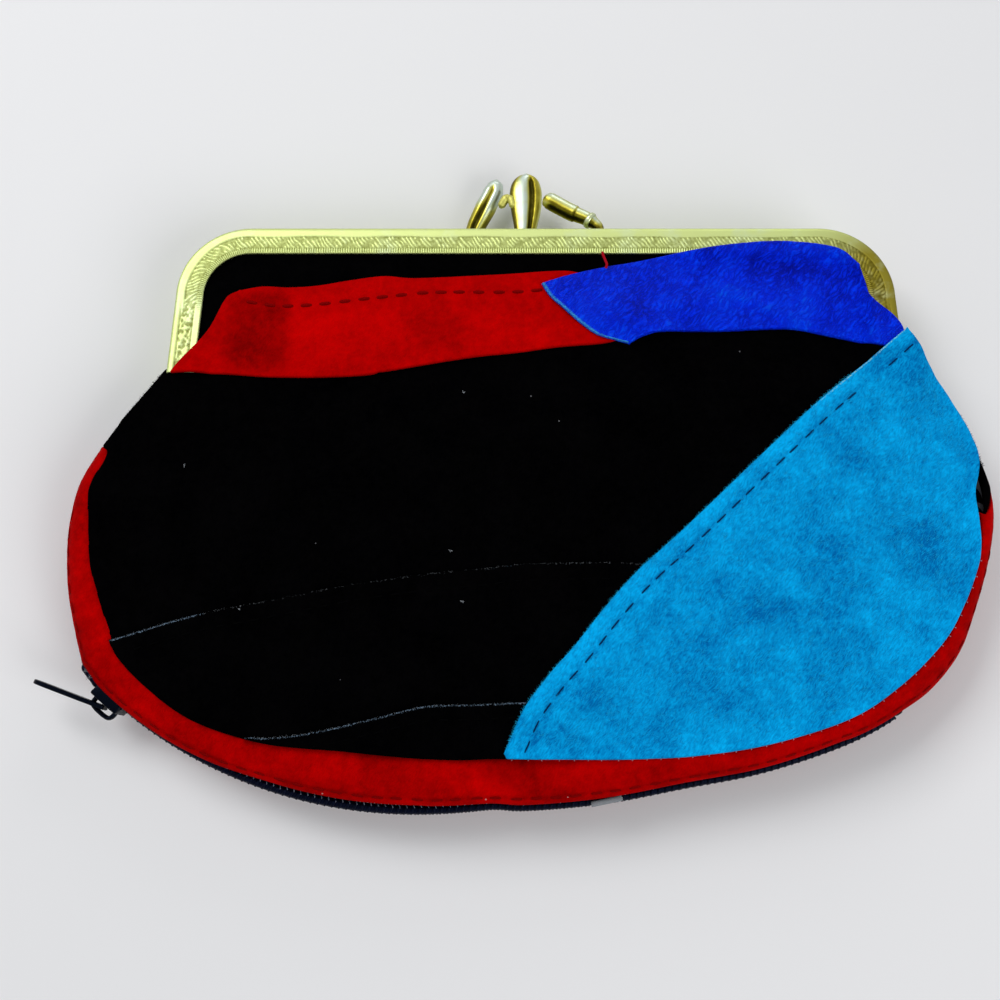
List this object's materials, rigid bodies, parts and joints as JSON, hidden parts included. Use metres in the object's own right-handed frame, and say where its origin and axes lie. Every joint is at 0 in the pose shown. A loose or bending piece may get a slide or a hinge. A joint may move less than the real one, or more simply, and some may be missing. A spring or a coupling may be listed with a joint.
{
  "type": "framed coin purse",
  "caption": "Soft coin purse pieced from suede, with a gilt kiss-lock frame over two pockets and a zip round the foot.",
  "frame": {"origin": "on the flat of the back panel, below the middle of the purse", "axes": "+X along the frame's top bar, +Y from the foot to the clasp, +Z from the back to the front; the purse lies on its back"},
  "size_m": [0.1916, 0.1343, 0.018],
  "materials": {
    "gilt_brass": "polished pale gilt, pressed bark pattern on the frame's face",
    "black_suede": "napped suede, deep black",
    "red_suede": "napped suede, red",
    "blue_leather": "grained leather with fine wrinkles, royal blue",
    "turquoise_suede": "thick napped suede, turquoise",
    "lining_cloth": "plain woven lining, black",
    "zip_cloth": "woven zip tape, navy black",
    "zip_nylon": "nylon coil, navy black",
    "black_enamel": "black enamel over die-cast metal"
  },
  "bodies": {
    "bag": {"back_frame": "gilt_brass", "left_hinge_rivet": "gilt_brass", "right_hinge_rivet": "gilt_brass", "back_clasp_prong": "gilt_brass", "back_panel": "black_suede", "back_lining": "lining_cloth", "front_lining_lower": "lining_cloth", "front_lining_fold": "lining_cloth", "black_main_patch": "black_suede", "black_middle_patch": "black_suede", "black_bottom_patch": "black_suede", "turquoise_patch": "turquoise_suede", "front_wall_lower": "lining_cloth", "back_wall_lower": "lining_cloth", "front_gusset": "red_suede", "back_gusset": "red_suede", "left_side_piece": "black_suede", "right_side_piece": "black_suede", "front_zip_tape": "zip_cloth", "back_zip_tape": "zip_cloth", "front_zip_coil": "zip_nylon", "back_zip_coil": "zip_nylon", "zip_end_stop": "black_enamel"},
    "middle": {"middle_frame": "gilt_brass", "middle_clasp_prong": "gilt_brass", "front_wall_upper": "lining_cloth", "back_wall_upper": "lining_cloth"},
    "front": {"front_frame": "gilt_brass", "front_clasp_prong": "gilt_brass", "black_top_strip": "black_suede", "red_patch": "red_suede", "blue_patch": "blue_leather", "front_lining_upper": "lining_cloth"},
    "slider": {"zip_slider": "black_enamel"},
    "pull": {"zip_pull": "black_enamel"}
  },
  "joints": [
    {"name": "middle_opens", "type": "hinge", "parent": "bag", "child": "middle", "pos_m": [0, 0.029, 0.009], "axis": [1, 0, 0], "range_deg": [0, 45]},
    {"name": "front_closes", "type": "hinge", "parent": "middle", "child": "front", "pos_m": [0, 0.029, 0.009], "axis": [-1, 0, 0], "range_deg": [-45, 0], "deforming": ["front_lining_fold", "red_patch", "blue_patch", "black_main_patch", "turquoise_patch"]},
    {"name": "slider_runs", "type": "hinge", "parent": "bag", "child": "slider", "pos_m": [-0.0235, 0.033, 0.009], "axis": [0, 0, 1], "range_deg": [0, 45]},
    {"name": "pull_swings", "type": "hinge", "parent": "slider", "child": "pull", "pos_m": [-0.08504, -0.03931, 0.009], "axis": [0, 0, 1], "range_deg": [-15, 150]}
  ]
}
